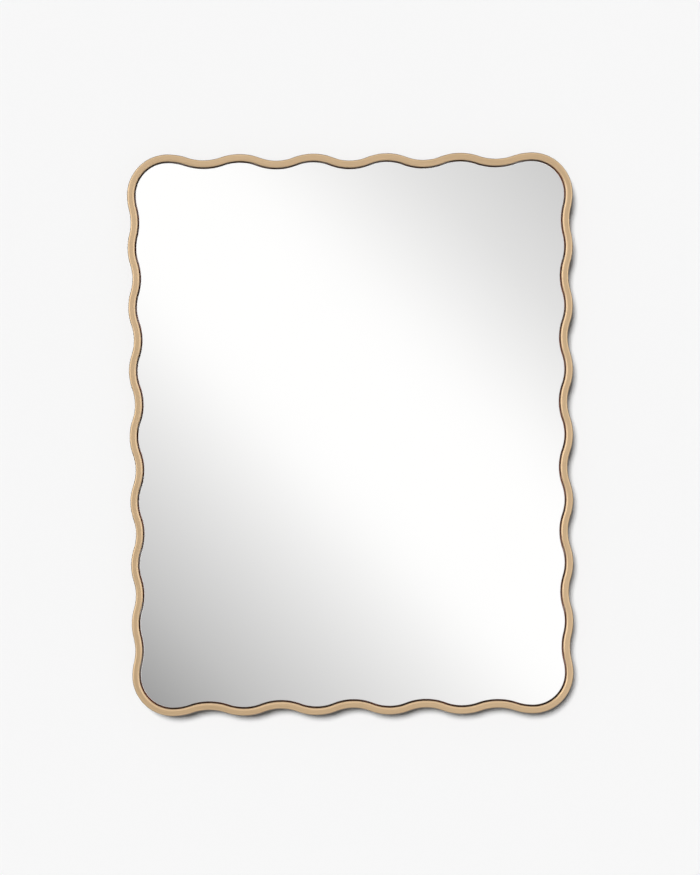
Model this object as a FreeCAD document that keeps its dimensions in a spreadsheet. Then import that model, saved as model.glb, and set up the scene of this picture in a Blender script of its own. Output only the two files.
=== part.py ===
"""Wall mirror in a wavy frame of bent brass-tone tube, as the separate pieces that make it up.

Millimetres. X runs right, Z runs up and the glass faces -Y. The wall is the plane Y = 0, and the
origin is the middle of the mirror's outline on that plane.
"""
import FreeCAD, Part
import math
import os

import Sketcher
from FreeCAD import Placement, Rotation, Vector

# Driving dimensions: name, value, meaning
SIZES = [
    ("overall_width", 600, "frame, crest to crest, left to right"),
    ("overall_height", 760, "frame, crest to crest, bottom to top"),
    ("corner_radius", 55, "outside of the frame's corner bends"),
    ("top_waves", 5, "number of waves along the top, and along the bottom"),
    ("top_mid_pitch", 99, "length of the wave in the middle of the top"),
    ("top_mid_depth", 9.5, "depth of the wave in the middle of the top"),
    ("top_end_depth", 8.1, "depth of the waves next to the corners, top and bottom"),
    ("side_waves", 8, "number of waves up each side"),
    ("side_mid_pitch", 89, "length of the waves in the middle of a side"),
    ("side_mid_depth", 7.7, "depth of the waves in the middle of a side"),
    ("side_end_depth", 4.4, "depth of the waves next to the corners, on the sides"),
    ("rail_width", 9.5, "face of the tube, seen from the front"),
    ("rail_depth", 25, "tube, front to back"),
    ("rail_wall", 1.2, "wall of the tube"),
    ("face_rounding", 3, "rounding of the tube's two front edges, outside"),
    ("back_rounding", 1.5, "rounding of the tube's two back edges, outside"),
    ("spigot_reach", 15, "length of a corner spigot inside each of its two tubes"),
    ("spigot_clearance", 0.25, "gap between a spigot and the tube round it"),
    ("wall_standoff", 2, "tube's back to the wall, which is the bumpers' height"),
    ("bumper_diameter", 6, "wall bumper"),
    ("bumper_chamfer", 0.5, "wall bumper's edge"),
    ("glass_recess", 4, "tube's front to the glass's front"),
    ("glass_thickness", 4, "silvered glass"),
    ("glass_gap", 2, "open gap between the tube and the glass"),
    ("glass_arris", 0.5, "polished chamfer along the glass's front edge"),
    ("tape_count", 4, "strips of mounting tape behind the glass"),
    ("tape_thickness", 1, "mounting tape"),
    ("tape_width", 25, "mounting tape"),
    ("tape_end_margin", 45, "top or bottom of the frame to the ends of the tape"),
    ("tape_side_margin", 75, "side of the frame to the middle of the outer strips"),
    ("board_thickness", 9, "backing board"),
    ("board_gap", 0.5, "gap between the tube and the backing board"),
    ("tab_length", 20, "fixing tab, along the tube"),
    ("tab_reach", 16, "fixing tab, tube to its free end"),
    ("tab_thickness", 2, "fixing tab"),
    ("tab_rounding", 4, "fixing tab's two free corners"),
    ("tab_hole_reach", 8.5, "tube to the middle of the tab's screw hole"),
    ("tab_weld_gap", 0.3, "root gap between the tab and the tube, under the weld"),
    ("weld_length", 12, "weld bead, along the tube"),
    ("weld_leg", 2, "weld bead, along the tab and along the tube's wall"),
    ("weld_rounding", 1.5, "weld bead's rounded face"),
    ("top_tab_step", 3, "crests from one tab to the next, top and bottom"),
    ("side_tab_step", 3, "crests from one tab to the next, on the sides"),
    ("screw_diameter", 3.5, "all screws"),
    ("screw_length", 9, "all screws, under the head"),
    ("screw_tip", 2.5, "pointed end of the screws"),
    ("screw_head_diameter", 7, "all screws"),
    ("screw_head_height", 2.2, "all screws"),
    ("screw_head_rim", 0.8, "straight edge of the pan head"),
    ("recess_span", 3.8, "cross recess, tip to tip"),
    ("recess_width", 1.1, "cross recess, across one wing"),
    ("recess_depth", 1.4, "cross recess"),
    ("screw_clearance", 0.25, "gap between a screw and a hole that it passes through"),
    ("pilot_clearance", 0.05, "gap between a screw and the hole that it is driven into"),
    ("pilot_spare", 0.5, "depth of a pilot hole beyond the screw's tip"),
    ("hanger_inset", 95, "side of the frame to the middle of a hanger"),
    ("hanger_drop", 180, "top of the frame to a ring's hinge line"),
    ("ring_wire", 3, "wire of the hanger rings"),
    ("ring_width", 24, "ring, between the middles of its sides"),
    ("ring_height", 22, "ring, hinge line to the middle of its far end"),
    ("ring_bend", 4, "ring's bend beside the hinge, at the middle of the wire"),
    ("knuckle_clearance", 0.3, "gap between the ring's wire and the strap's loop"),
    ("strap_thickness", 1, "sheet of the hanger strap"),
    ("strap_width", 12, "hanger strap"),
    ("strap_length", 50, "hinge line to the strap's lower end"),
    ("strap_rounding", 4, "strap's lower corners"),
    ("strap_first_hole", 30, "hinge line to the strap's first screw"),
    ("strap_hole_pitch", 12, "strap's first screw to its second"),
]

# Planes along Y, from the wall to the front
RAIL_BACK = "-Sizes.wall_standoff"
RAIL_FRONT = f"({RAIL_BACK} - Sizes.rail_depth)"
GLASS_FRONT = f"({RAIL_FRONT} + Sizes.glass_recess)"
TAPE_FRONT = f"({GLASS_FRONT} + Sizes.glass_thickness)"
BOARD_FRONT = f"({TAPE_FRONT} + Sizes.tape_thickness)"
BOARD_BACK = f"({BOARD_FRONT} + Sizes.board_thickness)"
TAB_BACK = f"({BOARD_BACK} + Sizes.tab_thickness)"
HINGE_DEPTH = f"({BOARD_BACK} + Sizes.ring_wire / 2 + Sizes.knuckle_clearance + Sizes.strap_thickness)"

# The sides in clockwise order from the top, as seen from the front, and the corner each one starts at
SIDES = ["top_rail", "right_stile", "bottom_rail", "left_stile"]
CORNERS = ["top_left", "top_right", "bottom_right", "bottom_left"]
CORNER_SIGNS = {"top_left": (-1, 1), "top_right": (1, 1), "bottom_right": (1, -1), "bottom_left": (-1, -1)}

QUARTER = math.pi / 2
BORE_OVERRUN = math.radians(2)
TOUCH = 1e-6

doc = FreeCAD.newDocument("WavyMirror")
sheet = doc.addObject("Spreadsheet::Sheet", "Sizes")
nodes = []


def fill_sheet():
    """Write the driving dimensions into the sheet, one row each."""
    for row, (name, value, meaning) in enumerate(SIZES, start=1):
        sheet.set(f"A{row}", name)
        sheet.set(f"B{row}", str(value))
        sheet.set(f"C{row}", meaning)
        sheet.setAlias(f"B{row}", name)
    doc.recompute()


def size(name):
    return float(sheet.get(name))


def count(name):
    return int(sheet.get(name))


def node(obj, name):
    """Name a finished sub-part and list it for writing."""
    obj.Label = name
    nodes.append(obj)
    return obj


def bind(obj, **expressions):
    """Tie properties to the sheet; x, y and z stand for the placement's position."""
    for name, expression in expressions.items():
        target = f".Placement.Base.{name}" if name in ("x", "y", "z") else name
        obj.setExpression(target, expression)


# The wavy line


def crest_places(span, waves, mid_pitch):
    """Crests along a side, measured from its middle; the pitch eases off towards the corners."""
    half = waves / 2
    easing = (mid_pitch * half - span / 2) / half**3
    return [mid_pitch * k - easing * k**3 for k in (i - half for i in range(waves + 1))]


def trough_depths(waves, mid_depth, end_depth):
    """Depth of each wave of a side, which changes with the square of the way to the corner."""
    last = max((waves - 1) / 2, 1)
    return [mid_depth + (end_depth - mid_depth) * ((i - (waves - 1) / 2) / last) ** 2 for i in range(waves)]


def side_crests(side):
    """Crests of a side, counted from the corner that it starts at."""
    if side in ("top_rail", "bottom_rail"):
        span = size("overall_width") - 2 * size("corner_radius")
        return crest_places(span, count("top_waves"), size("top_mid_pitch"))
    span = size("overall_height") - 2 * size("corner_radius")
    return crest_places(span, count("side_waves"), size("side_mid_pitch"))


def side_bends(side):
    """A side's waves as (radius, turn) arcs of the tube's middle line; a turn to the right is positive."""
    kind = "top" if side in ("top_rail", "bottom_rail") else "side"
    crests = side_crests(side)
    depths = trough_depths(count(f"{kind}_waves"), size(f"{kind}_mid_depth"), size(f"{kind}_end_depth"))
    bends = []
    for start, end, depth in zip(crests, crests[1:], depths):
        run = (end - start) / 2
        radius = (run**2 + depth**2) / (4 * depth)
        turn = 2 * math.atan2(depth, run)
        bends += [(radius, turn), (radius, -2 * turn), (radius, turn)]
    return bends


def middle_radius():
    """Radius of a corner bend at the middle of the tube."""
    return size("corner_radius") - size("rail_width") / 2


def corner_centre(corner):
    right_sign, up_sign = CORNER_SIGNS[corner]
    across = size("overall_width") / 2 - size("corner_radius")
    up = size("overall_height") / 2 - size("corner_radius")
    return Vector(right_sign * across, 0, up_sign * up)


def rightward(heading):
    """Unit vector to the right of a heading, in the plane of the frame."""
    return Vector(math.sin(heading), 0, -math.cos(heading))


def trace(bends, point, heading, offset):
    """Arcs that follow the bends from a point, at an offset to the outside of the tube's middle line."""
    edges = []
    for radius, turn in bends:
        reach = math.copysign(radius, turn)
        centre = point + rightward(heading) * reach
        spots = [centre - rightward(heading - turn * share) * (reach + offset) for share in (0, 0.5, 1)]
        edges.append(Part.Arc(*spots).toShape())
        heading -= turn
        point = centre - rightward(heading) * reach
    return edges


def outline_face(offset):
    """Face inside the closed wavy line at an offset from the tube's middle line."""
    bends = []
    for side in SIDES:
        bends += side_bends(side) + [(middle_radius(), QUARTER)]
    start = corner_centre(CORNERS[0]) + Vector(0, 0, middle_radius())
    return Part.Face(Part.Wire(trace(bends, start, 0, offset)))


def length_face(side, half_width, overrun=0.0):
    """Face of one bent length, from the middle of one corner to the middle of the next."""
    index = SIDES.index(side)
    corner_bend = [(middle_radius(), QUARTER / 2 + overrun)]
    heading = QUARTER / 2 + overrun - index * QUARTER
    start = corner_centre(CORNERS[index]) - rightward(heading) * middle_radius()
    bends = corner_bend + side_bends(side) + corner_bend
    outer = trace(bends, start, heading, half_width)
    inner = trace(bends, start, heading, -half_width)
    first = Part.makeLine(inner[0].firstVertex().Point, outer[0].firstVertex().Point)
    last = Part.makeLine(outer[-1].lastVertex().Point, inner[-1].lastVertex().Point)
    return Part.Face(Part.Wire(Part.__sortEdges__([first, *outer, last, *inner])))


# Building blocks


def flat_outline(name, face, depth):
    """A drawn face, standing at a depth along Y."""
    drawn = doc.addObject("Part::Feature", name)
    drawn.Shape = face
    drawn.Placement = Placement()
    bind(drawn, y=depth)
    return drawn


def extrusion(name, face, depth, length):
    """A drawn face, thickened backwards from a depth along Y."""
    solid = doc.addObject("Part::Extrusion", name)
    solid.Base = flat_outline(f"{name}_outline", face, depth)
    solid.DirMode = "Custom"
    solid.Dir = Vector(0, 1, 0)
    solid.Solid = True
    bind(solid, LengthFwd=length)
    doc.recompute()
    return solid


def rounded(name, base, radius_of, kind="Part::Fillet"):
    """The base with each edge rounded by the radius that a function gives it, or chamfered by that much."""
    blank = doc.addObject(kind, name)
    blank.Base = base
    radii = [(i, radius_of(edge)) for i, edge in enumerate(base.Shape.Edges, start=1)]
    blank.Edges = [(i, radius, radius) for i, radius in radii if radius > TOUCH]
    doc.recompute()
    return blank


def is_arc(edge):
    return edge.Curve.TypeId == "Part::GeomCircle"


def boolean(kind, name, base, tool):
    result = doc.addObject(kind, name)
    result.Base = base
    result.Tool = tool
    doc.recompute()
    return result


def drawn_sketch(body, name, plane, shapes):
    """A sketch on one of the body's own planes that holds some shapes."""
    sketch = body.newObject("Sketcher::SketchObject", name)
    support = next(item for item in body.Origin.OriginFeatures if item.Role == plane)
    sketch.AttachmentSupport = [(support, "")]
    sketch.MapMode = "FlatFace"
    sketch.addGeometry(shapes, False)
    return sketch


def limit(sketch, expression, *arguments):
    """A dimension of a sketch that follows the sheet."""
    index = sketch.addConstraint(Sketcher.Constraint(*arguments))
    sketch.setExpression(f"Constraints[{index}]", expression)


def join_ends(sketch, pairs):
    """Join shape ends in a sketch, each end as (shape, end), and make the join smooth where asked."""
    for kind, first, first_end, second, second_end in pairs:
        sketch.addConstraint(Sketcher.Constraint(kind, first, first_end, second, second_end))


def segment(start, end):
    return Part.LineSegment(Vector(*start, 0), Vector(*end, 0))


def arc_of(centre, radius, start, end):
    """Arc in a sketch, anticlockwise from one angle to the other, in degrees."""
    circle = Part.Circle(Vector(*centre, 0), Vector(0, 0, 1), radius)
    return Part.ArcOfCircle(circle, math.radians(start), math.radians(end))


# Frame


def make_length(side):
    """One bent length of tube, open at both ends."""
    half = size("rail_width") / 2
    wall = size("rail_wall")
    bar = extrusion(f"{side}_bar", length_face(side, half), RAIL_FRONT, "Sizes.rail_depth")
    middle = bar.Shape.BoundBox.Center.y

    def outer_rounding(edge):
        if not is_arc(edge):
            return 0
        return size("face_rounding" if edge.CenterOfMass.y < middle else "back_rounding")

    def inner_rounding(edge):
        return outer_rounding(edge) - wall

    skin = rounded(f"{side}_skin", bar, outer_rounding)
    bore_face = length_face(side, half - wall, BORE_OVERRUN)
    bore = extrusion(f"{side}_bore", bore_face, f"{RAIL_FRONT} + Sizes.rail_wall",
                     "Sizes.rail_depth - 2 * Sizes.rail_wall")
    if max(size("face_rounding"), size("back_rounding")) - wall > TOUCH:
        bore = rounded(f"{side}_bore_rounded", bore, inner_rounding)
    return node(boolean("Part::Cut", f"{side}_tube", skin, bore), side)


def make_corner_spigot(corner):
    """Bent flat bar that joins two lengths inside a corner; its sketch lies about the bend's centre."""
    body = doc.addObject("PartDesign::Body", f"spigot_{corner}")
    margin = size("rail_wall") + size("spigot_clearance")
    outer = size("corner_radius") - margin
    inner = size("corner_radius") - size("rail_width") + margin
    half = math.degrees(size("spigot_reach") / middle_radius())
    shapes = [arc_of((0, 0), outer, -half, half), arc_of((0, 0), inner, -half, half)]
    across, up = (math.cos(math.radians(half)), math.sin(math.radians(half)))
    for sign in (-1, 1):
        shapes.append(segment((inner * across, sign * inner * up), (outer * across, sign * outer * up)))
    sketch = drawn_sketch(body, f"spigot_{corner}_plan", "XZ_Plane", shapes)
    join_ends(sketch, [("Coincident", 0, 3, -1, 1), ("Coincident", 1, 3, -1, 1),
                       ("Coincident", 2, 1, 1, 1), ("Coincident", 2, 2, 0, 1),
                       ("Coincident", 3, 1, 1, 2), ("Coincident", 3, 2, 0, 2)])
    sketch.addConstraint(Sketcher.Constraint("Symmetric", 0, 1, 0, 2, -1))
    sketch.addConstraint(Sketcher.Constraint("Symmetric", 1, 1, 1, 2, -1))
    limit(sketch, "Sizes.corner_radius - Sizes.rail_wall - Sizes.spigot_clearance", "Radius", 0, outer)
    limit(sketch, "Sizes.corner_radius - Sizes.rail_width + Sizes.rail_wall + Sizes.spigot_clearance",
          "Radius", 1, inner)
    limit(sketch, "2 * Sizes.spigot_reach / (Sizes.corner_radius - Sizes.rail_width / 2) * 180 / pi",
          "Angle", 2, 3, math.radians(2 * half))
    bar = body.newObject("PartDesign::Pad", f"spigot_{corner}_bar")
    bar.Profile = sketch
    bar.Midplane = True
    bind(bar, Length="Sizes.rail_depth - 2 * Sizes.rail_wall - 2 * Sizes.spigot_clearance")
    doc.recompute()
    if size("face_rounding") - size("rail_wall") > TOUCH:
        long_edges = [f"Edge{i}" for i, edge in enumerate(bar.Shape.Edges, start=1) if is_arc(edge)]
        eased = body.newObject("PartDesign::Fillet", f"spigot_{corner}_eased")
        eased.Base = (bar, long_edges)
        bind(eased, Radius="Sizes.face_rounding - Sizes.rail_wall")
    right_sign, up_sign = CORNER_SIGNS[corner]
    outwards = math.degrees(math.atan2(up_sign, right_sign))
    body.Placement = Placement(Vector(), Rotation(Vector(0, 1, 0), -outwards))
    bind(body, x=f"{right_sign} * (Sizes.overall_width / 2 - Sizes.corner_radius)",
         y=f"{RAIL_FRONT} + Sizes.rail_depth / 2",
         z=f"{up_sign} * (Sizes.overall_height / 2 - Sizes.corner_radius)")
    doc.recompute()
    return node(body, f"corner_spigot_{corner}")


def make_wall_bumper(corner):
    """Rubber dot on the tube's back, at the crest beside a corner."""
    right_sign, up_sign = CORNER_SIGNS[corner]
    dot = doc.addObject("Part::Cylinder", f"bumper_{corner}_dot")
    dot.Placement = Placement(Vector(), Rotation(Vector(1, 0, 0), -90))
    bind(dot, Radius="Sizes.bumper_diameter / 2", Height="Sizes.wall_standoff",
         x=f"{right_sign} * (Sizes.overall_width / 2 - Sizes.corner_radius)", y=RAIL_BACK,
         z=f"{up_sign} * (Sizes.overall_height / 2 - Sizes.rail_width / 2)")
    doc.recompute()

    def wall_chamfer(edge):
        return size("bumper_chamfer") if is_arc(edge) and abs(edge.CenterOfMass.y) < TOUCH else 0

    pad = rounded(f"bumper_{corner}", dot, wall_chamfer, "Part::Chamfer")
    return node(pad, f"wall_bumper_{corner}")


# Glass and backing


def make_glass():
    """Silvered glass, with a polished arris along its front edge."""
    half = size("rail_width") / 2
    plate = extrusion("glass_plate", outline_face(-half - size("glass_gap")), GLASS_FRONT,
                      "Sizes.glass_thickness")
    front = plate.Shape.BoundBox.YMin

    def front_arris(edge):
        return size("glass_arris") if is_arc(edge) and abs(edge.CenterOfMass.y - front) < TOUCH else 0

    return node(rounded("glass", plate, front_arris, "Part::Chamfer"), "mirror_glass")


def make_tapes():
    """Upright strips of foam tape between the glass and the board."""
    strips = count("tape_count")
    for index in range(strips):
        share = index / max(strips - 1, 1) - 0.5
        strip = doc.addObject("Part::Box", f"tape_{index + 1}")
        bind(strip, Length="Sizes.tape_width", Width="Sizes.tape_thickness",
             Height="Sizes.overall_height - 2 * Sizes.tape_end_margin",
             x=f"{share} * (Sizes.overall_width - 2 * Sizes.tape_side_margin) - Sizes.tape_width / 2",
             y=TAPE_FRONT, z="Sizes.tape_end_margin - Sizes.overall_height / 2")
        node(strip, f"mounting_tape_{index + 1}")


def tab_places():
    """Tab name, crest on the inside of the tube and direction into the frame, for each fixing tab."""
    inner_up = size("overall_height") / 2 - size("rail_width")
    inner_across = size("overall_width") / 2 - size("rail_width")
    places = []
    for side in SIDES:
        level = side in ("top_rail", "bottom_rail")
        step = count("top_tab_step" if level else "side_tab_step")
        sign = 1 if side in ("top_rail", "right_stile") else -1
        crests = side_crests(side)
        for number, crest in enumerate(crests[1:-1:step], start=1):
            spot = Vector(crest, 0, sign * inner_up) if level else Vector(sign * inner_across, 0, crest)
            inwards = Vector(0, 0, -sign) if level else Vector(-sign, 0, 0)
            places.append((f"{side.split('_')[0]}_{number}", spot, inwards))
    return places


def hanger_holes():
    """Screw places of the two hangers, in the plane of the board."""
    across = size("overall_width") / 2 - size("hanger_inset")
    hinge = size("overall_height") / 2 - size("hanger_drop")
    drops = [size("strap_first_hole"), size("strap_first_hole") + size("strap_hole_pitch")]
    return [Vector(sign * across, 0, hinge - drop) for sign in (-1, 1) for drop in drops]


def tab_holes():
    return [spot + inwards * size("tab_hole_reach") for _, spot, inwards in tab_places()]


def pilot_holes(name, spots, passed):
    """Blind holes in the board's back, for screws that pass a sheet of some thickness first."""
    drills = []
    for number, spot in enumerate(spots, start=1):
        drill = doc.addObject("Part::Cylinder", f"{name}_{number}")
        drill.Placement = Placement(spot, Rotation(Vector(1, 0, 0), 90))
        bind(drill, Radius="Sizes.screw_diameter / 2 + Sizes.pilot_clearance",
             Height=f"Sizes.screw_length - {passed} + Sizes.pilot_spare", y=BOARD_BACK)
        drills.append(drill)
    holes = doc.addObject("Part::Compound", name)
    holes.Links = drills
    return holes


def make_board():
    """Backing board with pilot holes for the tabs' and the hangers' screws."""
    half = size("rail_width") / 2
    blank = extrusion("board_blank", outline_face(-half - size("board_gap")), BOARD_FRONT,
                      "Sizes.board_thickness")
    for_tabs = pilot_holes("board_tab_pilots", tab_holes(), "Sizes.tab_thickness")
    for_hangers = pilot_holes("board_hanger_pilots", hanger_holes(), "Sizes.strap_thickness")
    drilled = boolean("Part::Cut", "board_tab_drilled", blank, for_tabs)
    return node(boolean("Part::Cut", "board", drilled, for_hangers), "backing_board")


def make_tabs():
    """Tabs behind the board, each trimmed to the tube's curve to be welded to it."""
    half = size("rail_width") / 2
    opening = extrusion("tab_trim", outline_face(-half - size("tab_weld_gap")), BOARD_BACK,
                        "Sizes.tab_thickness")
    for name, spot, inwards in tab_places():
        along = Vector(abs(inwards.z), 0, abs(inwards.x))
        near = spot - inwards * half - along * (size("tab_length") / 2)
        far = spot + inwards * size("tab_reach") + along * (size("tab_length") / 2)
        plate = doc.addObject("Part::Box", f"tab_{name}_plate")
        plate.Placement = Placement(Vector(min(near.x, far.x), 0, min(near.z, far.z)), Rotation())
        over = "Sizes.tab_reach + Sizes.rail_width / 2"
        bind(plate, Length=over if inwards.x else "Sizes.tab_length",
             Height=over if inwards.z else "Sizes.tab_length", Width="Sizes.tab_thickness", y=BOARD_BACK)
        doc.recompute()
        tip = spot + inwards * size("tab_reach")

        def corner_rounding(edge, tip=tip, inwards=inwards):
            upright = edge.BoundBox.YLength > size("tab_thickness") / 2
            free = abs((edge.CenterOfMass - tip).dot(inwards)) < TOUCH
            return size("tab_rounding") if upright and free else 0

        trimmed = boolean("Part::Common", f"tab_{name}_trimmed",
                          rounded(f"tab_{name}_rounded", plate, corner_rounding), opening)
        hole = doc.addObject("Part::Cylinder", f"tab_{name}_hole")
        place = spot + inwards * size("tab_hole_reach")
        hole.Placement = Placement(place, Rotation(Vector(1, 0, 0), -90))
        bind(hole, Radius="Sizes.screw_diameter / 2 + Sizes.screw_clearance", Height="Sizes.tab_thickness",
             y=BOARD_BACK)
        node(boolean("Part::Cut", f"tab_{name}", trimmed, hole), f"fixing_tab_{name}")


def make_welds():
    """Weld beads in the angles between the tabs' backs and the tube, as one group of separate solids."""
    half = size("rail_width") / 2
    leg = size("weld_leg")
    opening = extrusion("weld_trim", outline_face(-half), TAB_BACK, "Sizes.weld_leg")
    rear = opening.Shape.BoundBox.YMax
    beads = []
    for name, spot, inwards in tab_places():
        along = Vector(abs(inwards.z), 0, abs(inwards.x))
        near = spot - inwards * half - along * (size("weld_length") / 2)
        far = spot + inwards * leg + along * (size("weld_length") / 2)
        bar = doc.addObject("Part::Box", f"weld_{name}_bar")
        bar.Placement = Placement(Vector(min(near.x, far.x), 0, min(near.z, far.z)), Rotation())
        over = "Sizes.weld_leg + Sizes.rail_width / 2"
        bind(bar, Length=over if inwards.x else "Sizes.weld_length",
             Height=over if inwards.z else "Sizes.weld_length", Width="Sizes.weld_leg", y=TAB_BACK)
        doc.recompute()
        edge_line = spot + inwards * leg

        def bead_rounding(edge, edge_line=edge_line, inwards=inwards):
            middle = edge.CenterOfMass
            free = abs(middle.y - rear) < TOUCH and abs((middle - edge_line).dot(inwards)) < TOUCH
            return size("weld_rounding") if free else 0

        bead = rounded(f"weld_{name}_bead", bar, bead_rounding)
        beads.append(boolean("Part::Common", f"weld_{name}", bead, opening))
    group = doc.addObject("Part::Compound", "welds")
    group.Links = beads
    doc.recompute()
    return node(group, "tab_welds")


# Screws


def make_screw():
    """Pan-head screw along Z, with the underside of its head at the origin."""
    body = doc.addObject("PartDesign::Body", "screw")
    shank = size("screw_diameter") / 2
    head = size("screw_head_diameter") / 2
    rim = size("screw_head_rim")
    top = size("screw_head_height")
    length = size("screw_length")
    shoulder = size("screw_tip") - length
    rounding = top - rim
    flat = head - rounding
    corners = [(flat, top), (0, top), (0, -length), (shank, shoulder), (shank, 0), (head, 0), (head, rim)]
    shapes = [segment(a, b) for a, b in zip(corners, corners[1:])] + [arc_of((flat, rim), rounding, 0, 90)]
    sketch = drawn_sketch(body, "screw_profile", "XZ_Plane", shapes)
    ends = [("Coincident", i, 2, i + 1, 1) for i in range(len(corners) - 2)]
    join_ends(sketch, ends + [("Tangent", 5, 2, 6, 1), ("Tangent", 6, 2, 0, 1)])
    for line in (1, 3):
        sketch.addConstraint(Sketcher.Constraint("Vertical", line))
    for line in (0, 4):
        sketch.addConstraint(Sketcher.Constraint("Horizontal", line))
    sketch.addConstraint(Sketcher.Constraint("PointOnObject", 1, 1, -2))
    sketch.addConstraint(Sketcher.Constraint("PointOnObject", 3, 2, -1))
    limit(sketch, "Sizes.screw_head_height", "DistanceY", -1, 1, 1, 1, top)
    limit(sketch, "Sizes.screw_length", "DistanceY", 1, 2, -1, 1, length)
    limit(sketch, "Sizes.screw_diameter / 2", "DistanceX", -1, 1, 3, 2, shank)
    limit(sketch, "Sizes.screw_length - Sizes.screw_tip", "DistanceY", 3, 1, 3, 2, -shoulder)
    limit(sketch, "Sizes.screw_head_diameter / 2", "DistanceX", -1, 1, 5, 1, head)
    limit(sketch, "Sizes.screw_head_rim", "DistanceY", 5, 1, 5, 2, rim)
    turned = body.newObject("PartDesign::Revolution", "screw_turned")
    turned.Profile = sketch
    turned.ReferenceAxis = (sketch, ["V_Axis"])
    turned.Angle = 360
    doc.recompute()
    add_cross_recess(body)
    return body


def add_cross_recess(body):
    """Cut the driver's cross into the top of the screw's head."""
    plain = body.Shape.Volume
    wing = ("Sizes.recess_span", "Sizes.recess_width")
    for number, (along, across) in enumerate((wing, wing[::-1]), start=1):
        slot = body.newObject("PartDesign::SubtractiveBox", f"screw_slot_{number}")
        bind(slot, Length=along, Width=across, Height="Sizes.recess_depth", x=f"-{along} / 2",
             y=f"-{across} / 2", z="Sizes.screw_head_height - Sizes.recess_depth")
        doc.recompute()
    if body.Shape.Volume >= plain:
        raise RuntimeError("the cross recess missed the screw's head")


def place_screws(screw, name, spots, seat):
    """Copies of the screw, heads to the back, seated at a depth, as one group of separate solids."""
    turn = Rotation(Vector(1, 0, 0), -90)
    group = doc.addObject("Part::Feature", name)
    group.Shape = Part.makeCompound(
        [screw.Shape.transformed(Placement(spot, turn).toMatrix()) for spot in spots])
    group.Placement = Placement()
    bind(group, y=seat)
    doc.recompute()
    return node(group, name)


# Hangers


def hang(body, sign):
    """Put a hanger's piece at its hinge line, on the left or the right."""
    bind(body, x=f"{sign} * (Sizes.overall_width / 2 - Sizes.hanger_inset)", y=HINGE_DEPTH,
         z="Sizes.overall_height / 2 - Sizes.hanger_drop")


def make_strap(name, sign):
    """Sheet strap that lies on the board, rolled at its top into a loop round the ring's wire."""
    body = doc.addObject("PartDesign::Body", name)
    sheet_metal = size("strap_thickness")
    bore = size("ring_wire") / 2 + size("knuckle_clearance")
    loop = bore + sheet_metal
    length = size("strap_length")
    drop = math.sqrt(loop**2 - bore**2)
    meet = math.degrees(math.atan2(-drop, -bore))
    shapes = [segment((-loop, -length), (-loop, 0)), arc_of((0, 0), loop, meet, 180),
              segment((-bore, -drop), (-bore, -length)), segment((-bore, -length), (-loop, -length)),
              Part.Circle(Vector(), Vector(0, 0, 1), bore)]
    sketch = drawn_sketch(body, f"{name}_profile", "YZ_Plane", shapes)
    join_ends(sketch, [("Tangent", 0, 2, 1, 2), ("Coincident", 1, 1, 2, 1), ("Coincident", 2, 2, 3, 1),
                       ("Coincident", 3, 2, 0, 1), ("Coincident", 1, 3, -1, 1), ("Coincident", 4, 3, -1, 1)])
    sketch.addConstraint(Sketcher.Constraint("Vertical", 0))
    sketch.addConstraint(Sketcher.Constraint("Vertical", 2))
    sketch.addConstraint(Sketcher.Constraint("Horizontal", 3))
    bore_rule = "Sizes.ring_wire / 2 + Sizes.knuckle_clearance"
    limit(sketch, bore_rule, "Radius", 4, bore)
    limit(sketch, f"{bore_rule} + Sizes.strap_thickness", "Radius", 1, loop)
    limit(sketch, bore_rule, "DistanceX", 2, 1, -1, 1, bore)
    limit(sketch, "Sizes.strap_length", "DistanceY", 0, 1, -1, 1, length)
    strip = body.newObject("PartDesign::Pad", f"{name}_strip")
    strip.Profile = sketch
    strip.Midplane = True
    bind(strip, Length="Sizes.strap_width")
    doc.recompute()
    add_strap_holes(body, name)
    add_strap_rounding(body, name)
    hang(body, sign)
    doc.recompute()
    return node(body, name)


def add_strap_holes(body, name):
    """Drill the strap's two screw holes from its back."""
    radius = size("screw_diameter") / 2 + size("screw_clearance")
    drops = [size("strap_first_hole"), size("strap_first_hole") + size("strap_hole_pitch")]
    circles = [Part.Circle(Vector(0, -drop, 0), Vector(0, 0, 1), radius) for drop in drops]
    sketch = drawn_sketch(body, f"{name}_holes", "XZ_Plane", circles)
    rules = ["Sizes.strap_first_hole", "Sizes.strap_first_hole + Sizes.strap_hole_pitch"]
    for index, (drop, rule) in enumerate(zip(drops, rules)):
        sketch.addConstraint(Sketcher.Constraint("PointOnObject", index, 3, -2))
        limit(sketch, rule, "DistanceY", index, 3, -1, 1, drop)
        limit(sketch, "Sizes.screw_diameter / 2 + Sizes.screw_clearance", "Radius", index, radius)
    plain = body.Shape.Volume
    drilled = body.newObject("PartDesign::Pocket", f"{name}_drilled")
    drilled.Profile = sketch
    drilled.Type = "ThroughAll"
    drilled.Midplane = True
    doc.recompute()
    if body.Shape.Volume >= plain:
        raise RuntimeError("the strap's holes missed its sheet")


def add_strap_rounding(body, name):
    """Round the strap's two lower corners."""
    lowest = -size("strap_length")
    square = body.Tip
    corners = [f"Edge{i}" for i, edge in enumerate(square.Shape.Edges, start=1)
               if abs(edge.CenterOfMass.z - lowest) < TOUCH and edge.BoundBox.XLength < TOUCH]
    eased = body.newObject("PartDesign::Fillet", f"{name}_eased")
    eased.Base = (square, corners)
    bind(eased, Radius="Sizes.strap_rounding")
    doc.recompute()


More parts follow.
